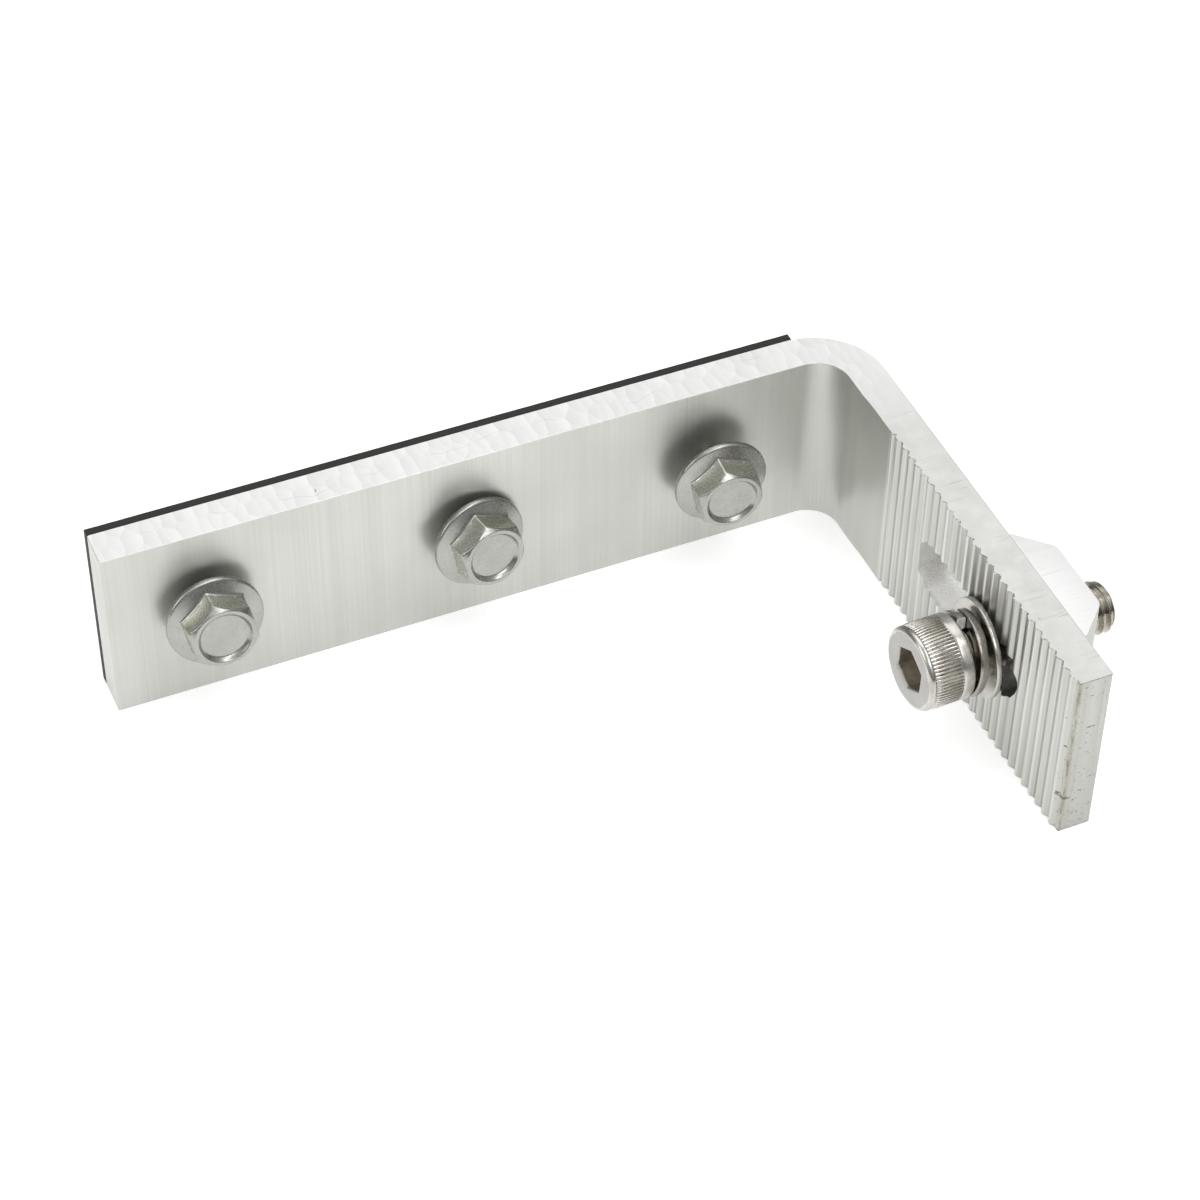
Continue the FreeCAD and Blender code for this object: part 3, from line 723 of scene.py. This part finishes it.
def slotCutter():
    # the cutter's wall is uneven, so the slot comes out torn like the milled one
    radius, top, end, layers = angle["slotWide"] / 2, angle["slotTop"], angle["slotEnd"], 30
    path, rings = [], []
    for turn, side, start, finish in ((0, -radius, top, end), (180, radius, end, top)):
        path += [(z, start + y) for z, y in (polar(radius, t) for t in range(turn, turn + 180, 3))]
        path += [(side, start + (finish - start) * i / 90) for i in range(90)]
    for k in range(layers + 1):
        x = angle["slotFrom"] + angle["slotDeep"] * k / layers
        rings.append([])
        for z, y in path:
            out = Vector((z, y - min(max(y, end), top))).normalized()
            tear = noise.noise(Vector((x * 0.9, y * 1.4, z * 1.4)))
            tear += 0.5 * noise.noise(Vector((x * 2.6, y * 3.1, z * 3.1)))
            tear *= angle["slotTorn"]
            rings[-1].append((x, y + out.y * tear, z + out.x * tear))
    return loft("slot cutter", rings, milledWithPaintedShade, capped=True)


def holeCutter(x, ends, wide, material):
    ring = [polar(wide / 2, 360 * i / 64) for i in range(64)]
    return loft("hole cutter", [[(x + u, y, v) for u, v in ring] for y in ends], material, capped=True)


def makeFlake():
    # a flat eight-sided chip
    length, wide, thick = burrs["flake"]
    rings = [[(0, 0, -thick)]]
    for share, level in ((0.55, -0.5), (1, -0.1), (0.85, 0.25), (0.4, 0.5)):
        rings.append([(length * share * math.cos(math.radians(t)) * (1 + 0.2 * math.sin(t)),
                       wide * share * math.sin(math.radians(t)), thick * level * 2)
                      for t in (0, 50, 95, 130, 180, 235, 270, 320)])
    return loft("burr", rings + [[(0, 0, thick)]], sawnAluminium)


def makeBracket():
    a, b, outline = angle, burrs, angleOutline()
    piece = meshObject("bracket_look", [(x, y, 0) for x, y in outline], [],
                       edges=[(i, (i + 1) % len(outline)) for i in range(len(outline))])
    grown(piece, angleTree, Finish=dieAluminium, **serration())
    breakEdges(piece, a["arris"], 1, 60, False)
    cut(piece, [slotCutter()] + [holeCutter(x, a["holeDown"], a["holeWide"], milledWithPaintedShade)
                                 for x in a["holes"]])
    repaint(piece, sawnAluminium, lambda face: abs(face.normal.z) > 0.95
            and abs(abs(face.center.z) / mm - a["width"] / 2) < 0.02)
    flakes = grown(makeFlake(), burrTree, Count=b["count"], From=b["from"] * mm, To=b["to"] * mm,
                   Level=(a["width"] / 2 - b["sunk"]) * mm, Smallest=b["smallest"],
                   Largest=b["largest"], Seed=b["seed"], Finish=sawnAluminium, **serration())
    settle(joined("bracket_look", [piece, flakes]), 30, None, "angle", "bracket")


makeBracket()

# the rubber strip
strip = {"half": 55, "thick": 1.5, "width": 30, "holeWide": 9, "waver": 0.05, "corner": 0.15}


def makeStrip():
    s, columns = strip, 217
    h, t, c = s["width"] / 2, s["thick"], s["corner"]
    section = [(-t, -h + c), (-t + c, -h), (-c, -h), (0, -h + c), (0, h - c), (-c, h),
               (-t + c, h), (-t, h - c)]
    rings = [[(-s["half"], -t / 2, 0)]]
    for k in range(columns + 1):
        x = -s["half"] + 2 * s["half"] * k / columns
        rings.append([])
        for y, z in section:
            waver = s["waver"] * noise.noise(Vector((x * 0.35, y, z * 0.2)))
            rings[-1].append((x, y, z - math.copysign(waver, z)))
    piece = loft("rubber_strip_look", rings + [[(s["half"], -t / 2, 0)]], blackRubber)
    cut(piece, [holeCutter(x, (-2.5, 1), s["holeWide"], blackRubber) for x in angle["holes"]])
    settle(piece, 30, None, "angle", "rubber_pad")


makeStrip()

# roof screws; the profiles give radius and height above the flange's underside
roofScrew = {"flange": 7.3, "rim": 0.9, "coneTop": 5.15, "coneHigh": 1.65, "acrossFlats": 9.6,
             "top": 5.45, "crown": 4.7, "crownLean": 48, "corner": 0.26,
             "flangeProfile": ((3, 0), (6.95, 0), (7.15, 0.04), (7.27, 0.16), (7.3, 0.32),
                               (7.3, 0.58), (7.26, 0.78), (7.15, 0.93), (6.98, 1.01)),
             "coneFrom": 6.8, "fillet": 0.42,
             "dishProfile": ((4.7, 5.4), (4.62, 5.435), (4.5, 5.45), (4.22, 5.45), (4.1, 5.44),
                             (4.02, 5.38), (3.96, 5.26), (3.62, 4.9), (3.5, 4.82), (3.35, 4.8),
                             (2.2, 4.8)),
             "crest": 3.15, "root": 2.4, "crestFlat": 0.07, "rootFlat": 0.42, "pitch": 1.8,
             "tipLength": 1.4, "tipRadius": 2.4, "threadEnd": -17.7, "drill": 2.7,
             "drillEnd": -22.7, "tip": -25, "flute": 1.45, "fluteLong": 5.5}
# a point on the shank, its two leans, the flange's reach from there and its turn
screwStances = {"left": ((-40.1, -4.5, -0.1), (0.3, 8.2), 5.51, 40.3),
                "middle": ((0.3, -4.5, -0.05), (7.5, 6.4), 4.75, 38.1),
                "right": ((39.7, -4.5, 0.05), (-3.0, -0.1), 6.23, 40.3)}
# directions for a hexagon, closer together at its six corners
hexTurns = [60 * s + t for s in range(6)
            for t in (0, 1.2, 2.4, 3.8, 6, 10, 16, 23, 30, 37, 44, 50, 54, 56.2, 57.6, 58.8)]


def hexRadius(turn, acrossFlats, corner):
    # distance from the axis to a hexagon with rounded corners, a corner lying at zero
    flat = acrossFlats / 2
    off = abs((turn % 60) - 30)
    meet = math.degrees(math.atan((flat - corner) * math.tan(math.radians(30)) / flat))
    if off <= meet:
        return flat / math.cos(math.radians(off))
    centre = (flat - corner) / math.cos(math.radians(30))
    along, aside = polar(centre, 30 - off)
    return along + math.sqrt(corner ** 2 - aside ** 2)


def ringAt(path):
    # path gives radius and height for a direction in degrees
    return [(*polar(path(turn)[0], turn), path(turn)[1]) for turn in hexTurns]


def roundRing(radius, height):
    return ringAt(lambda turn: (radius, height))


def makeScrewHead(name):
    s = roofScrew
    slope = (s["coneHigh"] - s["rim"]) / (s["flange"] - s["coneTop"])
    lean = math.tan(math.radians(s["crownLean"]))
    start, fillet, crown, top = s["coneFrom"], s["fillet"], s["crown"], s["top"]

    def wall(turn):
        return hexRadius(turn, s["acrossFlats"], s["corner"])

    def cone(radius):
        return s["rim"] + (s["flange"] - radius) * slope

    def onCone(radius):
        return radius, cone(radius)

    def crownStart(turn):
        return top - max(wall(turn) - crown, 0.02) * lean

    def crownAt(turn, share):
        # the crown bulges a little between the hexagon and the flat rim
        inward = (crown + 0.02 - wall(turn)) * share
        upward = (top - 0.07 - crownStart(turn)) * share
        bulge = 0.16 * (wall(turn) - crown) * share * (1 - share)
        return wall(turn) - 0.035 + inward, crownStart(turn) + 0.01 + upward + bulge

    rings = [[(0, 0, 0)]] + [roundRing(*spot) for spot in s["flangeProfile"]]
    rings += [ringAt(lambda t: onCone(start + (wall(t) + fillet - start) * share))
              for share in (0, 0.25, 0.6, 0.85)]
    # a hollow corner at the foot of the hexagon, its flats, and a soft edge to the crown
    for out, foot, lift in ((0.36, 0.36, 0), (0.16, 0.16, 0.03), (0.05, 0, 0.13), (0, 0, 0.32)):
        rings.append(ringAt(lambda t: (wall(t) + out, cone(wall(t) + foot) + lift)))
    rings.append(ringAt(lambda t: (wall(t), 3.4)))
    rings += [ringAt(lambda t: (wall(t) - inward, crownStart(t) + lift))
              for inward, lift in ((0, -0.22), (0.01, -0.06), (0.035, 0.01))]
    rings += [ringAt(lambda t: crownAt(t, share)) for share in (0.3, 0.65, 0.9)]
    rings += [roundRing(*spot) for spot in s["dishProfile"]] + [[(0, 0, s["dishProfile"][-1][1])]]

    def paint(centre, normal):
        # the six flats, which take the copy of the plating painted lighter
        level = abs(normal.z) < 0.25 and 1.9 < centre.z < 4.9
        return 1 if level and math.hypot(centre.x, centre.y) > 4.5 else 0

    return loft(name, rings, platedSteel, flatsPaintedLighter, paint=paint)


def makeThread(name, s, length, around, finish):
    sizes = {"Length": length, "Pitch": s["pitch"], "Crest": s["crest"], "Root": s["root"],
             "TipLength": s["tipLength"], "TipRadius": s["tipRadius"]}
    return grown(meshObject(name, [(0, 0, 0)], []), threadTree, CrestFlat=s["crestFlat"],
                 RootFlat=s["rootFlat"], Around=around, RowsPerTurn=14, Finish=finish,
                 **{label: value * mm for label, value in sizes.items()})


def makeDrillPoint(name):
    # a plain cylinder that starts inside the thread, a cone, and two flutes
    s = roofScrew
    drill, end, tip, flute, top = s["drill"], s["drillEnd"], s["tip"], s["flute"], s["threadEnd"] + 0.4
    rings = [[(0, 0, top)]]
    for height in [top + (end - top) * i / 8 for i in range(9)] \
            + [end + (tip - end) * i / 6 for i in range(1, 6)]:
        rings.append([])
        for turn in range(0, 360, 5):
            along, sway = polar(drill, turn)
            radius = drill * min((height - tip) / (end - tip), 1)
            if height < tip + s["fluteLong"] and abs(sway) < flute:
                radius = min(radius, max(abs(along) - math.sqrt(flute ** 2 - sway ** 2), 0.05))
            rings[-1].append((*polar(radius, turn), height))
    return loft(name, rings + [[(0, 0, tip)]], platedSteel)


def makeRoofScrew(label):
    name = "roof_screw_" + label
    point, lean, out, spin = screwStances[label]
    head = makeScrewHead(name + "_look")
    shank = makeThread(name + "_shank", roofScrew, -roofScrew["threadEnd"], 48, platedSteel)
    shank.data.transform(Matrix.Rotation(math.pi, 4, "X"))
    piece = joined(name + "_look", [head, shank, makeDrillPoint(name + "_drill")])
    axis = (math.tan(math.radians(lean[0])), -1, math.tan(math.radians(lean[1])))
    settle(piece, 40, aimed(point, axis, out, spin), "angle", name)


for label in screwStances:
    makeRoofScrew(label)

# the clamp screw; heights count from under its head, towards its tip
clampPoint = (65, -56.96, -0.05)
clampAxis = (1, 0.045, -0.025)
capScrew = {"headWide": 12.8, "headHigh": 7.3, "faceWide": 11.1, "roundDeep": 0.85,
            "ribBottom": -1.7, "ribTop": -6.25, "ribCore": 6.17, "ribs": 72, "fade": 1.2,
            "socket": 6.02, "socketCorner": 0.12, "socketDeep": 4, "socketCone": 0.9,
            "socketProfile": ((0.34, 0), (0.26, 0.01), (0.08, 0.16), (0.01, 0.3), (0, 0.5),
                              (0, 2.5), (0, 3.95), (-0.05, 4)),
            "shank": 25, "sunk": 0.2, "pitch": 1.25, "crest": 3.98, "root": 3.3, "crestFlat": 0.14,
            "rootFlat": 0.16, "tipLength": 0.7, "tipRadius": 3.4, "reach": -10.58, "spin": 30}


def makeCapHead():
    s = capScrew
    face, outer, core, flat = -s["headHigh"], s["headWide"] / 2, s["ribCore"], s["faceWide"] / 2
    low, high, fade = s["ribBottom"], s["ribTop"], s["fade"]
    rings = [[(0, 0, -0.3)]]
    rings += [roundRing(*spot) for spot in (
        (3.7, -0.3), (3.8, -0.02), (4, 0), (6.1, 0), (6.2, -0.02), (6.33, -0.09), (outer, -0.24),
        (outer, -0.4), (outer, low + 0.2), (outer - 0.03, low + 0.06), (core + 0.04, low - 0.12),
        (core, low - 0.25), (core, -4), (core, high + fade / 2), (core, high + 0.1),
        (core + 0.02, high - 0.02), (core + 0.11, high - 0.12), (core + 0.15, high - 0.22))]
    # the front edge is well rounded
    for turn in (20, 35, 50, 62, 73, 82, 90):
        across, up = polar(1, turn)
        rings.append(roundRing(flat + (outer - 0.06 - flat) * across, face + s["roundDeep"] * (1 - up)))
    rings += [roundRing(flat - 0.12, face), roundRing(4.4, face)]
    rings += [ringAt(lambda t: (hexRadius(t, s["socket"], s["socketCorner"]) + out, face + deep))
              for out, deep in s["socketProfile"]]
    rings.append(roundRing(1.5, face + s["socketDeep"] + s["socketCone"] / 2))
    rings.append([(0, 0, face + s["socketDeep"] + s["socketCone"])])

    def paint(centre, normal):
        away = math.hypot(centre.x, centre.y)
        if away < 3.6 and face + 0.12 < centre.z < -1:
            return 1
        if away < 5.6 and centre.z < face + 0.12:
            return 3
        # the core between the ribs takes the darker thread steel, painted shade between the ribs
        return 2 if away > 6.1 and high + fade / 2 < centre.z < low - 0.2 else 0

    return loft("cap_screw_look", rings, headSteel, socketSteel, threadAndKnurlShade, faceSteel, paint=paint)


def makeRib():
    # one low rib of the knurl; it fades out towards the front and ends short at the back
    s = capScrew
    core, low, high, fade = s["ribCore"], s["ribBottom"], s["ribTop"], s["fade"]
    wide, rise = 2 * math.pi * core / s["ribs"], s["headWide"] / 2 - core
    section = [(-0.42, -0.3), (-0.32, 0.35), (-0.18, 0.85), (0, 1), (0.18, 0.85), (0.32, 0.35),
               (0.42, -0.3)]
    rings = [[(core + rise * (v if v < 0 else v * full), u * wide, height) for u, v in section]
             for height, full in ((low - 0.05, 0.1), (low - 0.3, 1), (high + fade, 1),
                                  (high + fade / 2, 0.7), (high - 0.1, 0.2))]
    first, last = ([tuple(sum(p[k] for p in ring) / len(section) for k in range(3))]
                   for ring in (rings[0], rings[-1]))
    return loft("knurl", [first] + rings + [last], knurlPaintedLighter)


def makeCapScrew():
    s = capScrew
    head = makeCapHead()
    knurl = grown(makeRib(), ribTree, Count=s["ribs"], Phase=0.5, Finish=knurlPaintedLighter)
    # the low sides of the ribs take the darker thread steel too, painted shade in the knurl's valleys
    gully = (s["ribCore"] + 0.62 * (s["headWide"] / 2 - s["ribCore"])) * mm
    repaint(knurl, threadAndKnurlShade, lambda face: math.hypot(face.center.x, face.center.y) < gully
            and face.center.z > (s["ribTop"] + s["fade"] / 2) * mm)
    shank = makeThread("cap_shank", s, s["shank"] + s["sunk"], 60, threadAndKnurlShade)
    shank.data.transform(Matrix.Translation((0, 0, -s["sunk"] * mm)))
    settle(joined("cap_screw_look", [head, knurl, shank]), 38,
           aimed(clampPoint, clampAxis, s["reach"], s["spin"]), "screw", "cap_screw")


makeCapScrew()

# the split washer leans six degrees away from the head
springWasher = {"inner": 4.4, "outer": 6.4, "thick": 1.4, "rise": 1.52, "sweep": 390,
                "reach": -10.72, "tilt": 6, "side": -134.8, "spin": -98, "corner": 0.24}


def makeSpring():
    s = springWasher
    turns, middle = s["sweep"] / 360, (s["inner"] + s["outer"]) / 2 * mm
    # the bar is wound square and then widened in the washer's plane
    piece = grown(meshObject("spring_washer_look", [(0, 0, 0)], []), springTree, Radius=middle,
                  Bar=s["thick"] * mm, Corner=s["corner"] * mm, Turns=turns,
                  Rise=s["rise"] * turns * mm, Finish=springSteel)
    stretch = (s["outer"] - s["inner"]) / s["thick"]
    for vertex in piece.data.vertices:
        radius = math.hypot(vertex.co.x, vertex.co.y)
        widened = (middle + (radius - middle) * stretch) / radius
        vertex.co.x *= widened
        vertex.co.y *= widened
    faceOutwards(piece)
    # the bar's cut ends are painted near white, a painted glint
    repaint(piece, glintSteel, lambda face: len(face.vertices) > 4)
    piece.data.transform(Matrix.Translation((0, 0, s["thick"] / 2 * mm)))
    direction, level, plumb = frameOf(clampAxis)
    across, rise = polar(math.tan(math.radians(s["tilt"])), s["side"])
    start = Vector(clampPoint) + direction * s["reach"]
    settle(piece, 35, aimed(start, direction - level * across - plumb * rise, 0, s["spin"]),
           "washers", "spring_washer")


makeSpring()

flatWasher = {"inner": 4.35, "outer": 7.5, "thick": 0.9, "place": (58.92, -57.38, 0.05),
              "axis": (1, -0.061, -0.01), "corner": 0.22}


def makeFlatWasher():
    s = flatWasher
    i, o, t, c = s["inner"], s["outer"], s["thick"], s["corner"]
    profile = [(o - c - 0.1, 0), (o - c, 0), (o - c * 0.3, -c * 0.3), (o, -c), (o, -t + c * 0.6),
               (o - 0.05, -t + c * 0.2), (o - c * 0.7, -t), (o - c - 0.1, -t), (i + 0.2, -t),
               (i + 0.1, -t), (i, -t + 0.1), (i, -0.1), (i + 0.1, 0), (i + 0.2, 0)]
    rings = [[(*polar(radius, turn), height) for turn in range(0, 360, 3)]
             for radius, height in profile + profile[:1]]
    settle(loft("flat_washer_look", rings, washerSteel), 50, aimed(s["place"], s["axis"], 0, 0),
           "washers", "flat_washer")


makeFlatWasher()

channelNut = {"front": 11.2, "chamfer": 0.4, "lip": 2.2, "back": 6.35, "thick": 7.1, "corner": 2,
              "flank": 45, "long": 16, "bore": 8.5, "boreShift": 0.2, "arris": 0.1,
              "place": (67.3, -56.5, -0.15)}


def makeNut():
    s, bend, half = channelNut, channelNut["corner"], channelNut["long"] / 2
    side = [(s["front"] - s["chamfer"], 0), (s["front"], s["chamfer"]), (s["front"], s["lip"])]
    # the back corner is an arc that touches the flank and the back face
    x, z = s["back"] - bend * math.tan(math.radians(s["flank"] / 2)), s["thick"] - bend
    side += [(x + v, z + u) for u, v in (polar(bend, t) for t in (s["flank"], 37, 30, 22, 15, 7, 0))]
    outline = side + [(-x, z) for x, z in reversed(side)]
    piece = loft("channel_nut_look", [[(x, y, z) for x, z in outline] for y in (-half, half)],
                 dieAluminium, capped=True)
    breakEdges(piece, s["arris"], 2, 40, True)
    bore = [polar(s["bore"] / 2, 360 * i / 64) for i in range(64)]
    cut(piece, [loft("bore cutter", [[(s["boreShift"] + x, y, z) for x, y in bore]
                                     for z in (-1, s["thick"] + 1)], milledWithPaintedShade, capped=True)])
    repaint(piece, nutAluminium, lambda face: abs(face.normal.y) > 0.9)
    # the face towards the slot takes the slot's finish, so the slot's painted shade falls on it where it
    # shows through the slot
    for face in piece.data.polygons:
        if face.normal.z < -0.9:
            face.material_index = 1  # milled
    settle(piece, 30, aimed(s["place"], (1, 0, 0), 0, 0), "nut", "channel_nut")


makeNut()

# floor, light, camera; each box has its place, aim, size and power
studio = {"floorDown": -15, "floorSize": 3000, "floorTone": (0.72, 0.72, 0.72, 1),
          "floorLight": (0.76, 0.76, 0.752, 1), "floorGlow": 0.53,
          "sky": ((0.12, (0.13, 0.13, 0.13, 1)), (0.45, (0.42, 0.42, 0.42, 1)),
                  (0.95, (0.78, 0.78, 0.78, 1))),
          "boxes": {"overhead": ((0.05, 0.3, 0.7), (0.01, -0.03, 0), (0.8, 0.6), 1.7),
                    "front": ((0.02, -0.66, 0.7), (0.01, -0.04, 0), (0.5, 0.3), 1.6),
                    "top": ((0.2, -0.26, 0.72), (0.05, -0.05, 0), (0.3, 0.25), 0.78),
                    "left": ((-0.7, 0, 0.35), (0, -0.03, 0), (0.4, 0.4), 1.1)}}
photoCamera = {"azimuth": -23.879, "elevation": 44.686, "roll": 0.709, "lens": 101.434,
               "sensor": 36, "place": (-0.128055, -0.345272, 0.343726)}


def placed(name, data):
    holder = bpy.data.objects.new(name, data)
    scene.collection.objects.link(holder)
    return holder


def makeFloor():
    far, low = studio["floorSize"], studio["floorDown"]
    corners = [(-far, -far, low), (far, -far, low), (far, far, low), (-far, far, low)]
    material, shader, spot = startMaterial("pale floor")
    feed(shader.inputs["Base Color"], blend(grain(spot, 6, 2, 0.5), studio["floorTone"],
                                            studio["floorLight"]))
    shader.inputs["Roughness"].default_value = 0.8
    shader.inputs["Emission Color"].default_value = (1, 1, 1, 1)
    shader.inputs["Emission Strength"].default_value = studio["floorGlow"]
    meshObject("studio_floor", corners, [(0, 1, 2, 3)], material)


def softBox(name, place, aim, size, power):
    light = bpy.data.lights.new(name, "AREA")
    light.shape = "RECTANGLE"
    light.size, light.size_y = size
    light.energy = power
    lamp = placed(name, light)
    lamp.location = place
    lamp.rotation_euler = (Vector(aim) - Vector(place)).to_track_quat("-Z", "Y").to_euler()


def makeWorld():
    # pale overhead and darker round the room, so that the metal has something to show
    world = bpy.data.worlds.new("studio")
    world.use_nodes = True
    tree = world.node_tree
    height = splitXyz(flow(tree, "ShaderNodeTexCoord", out="Generated"))[2]
    ramp = put(tree, "ShaderNodeValToRGB", Fac=height)
    ramp.color_ramp.elements.new(0.5)
    for element, (level, tone) in zip(ramp.color_ramp.elements, studio["sky"]):
        element.position, element.color = level, tone
    feed(tree.nodes["Background"].inputs[0], Flow(ramp.outputs[0]))
    scene.world = world


def makeCamera():
    c = photoCamera
    a, e, r = (math.radians(c[k]) for k in ("azimuth", "elevation", "roll"))
    back = Vector((math.sin(a) * math.cos(e), -math.cos(a) * math.cos(e), math.sin(e)))
    right = (-back).cross(Vector((0, 0, 1))).normalized()
    up = right.cross(-back)
    across, upward = right * math.cos(r) + up * math.sin(r), up * math.cos(r) - right * math.sin(r)
    eye = bpy.data.cameras.new("photo camera")
    eye.lens, eye.sensor_width, eye.clip_start = c["lens"], c["sensor"], 0.01
    place = Matrix((across, upward, back)).transposed().to_4x4()
    place.translation = c["place"]
    scene.camera = placed("photo camera", eye)
    scene.camera.matrix_world = place


makeFloor()
for label, values in studio["boxes"].items():
    softBox(label + " box", *values)
makeWorld()
makeCamera()
scene.view_settings.view_transform = "Standard"
print("studio ready")
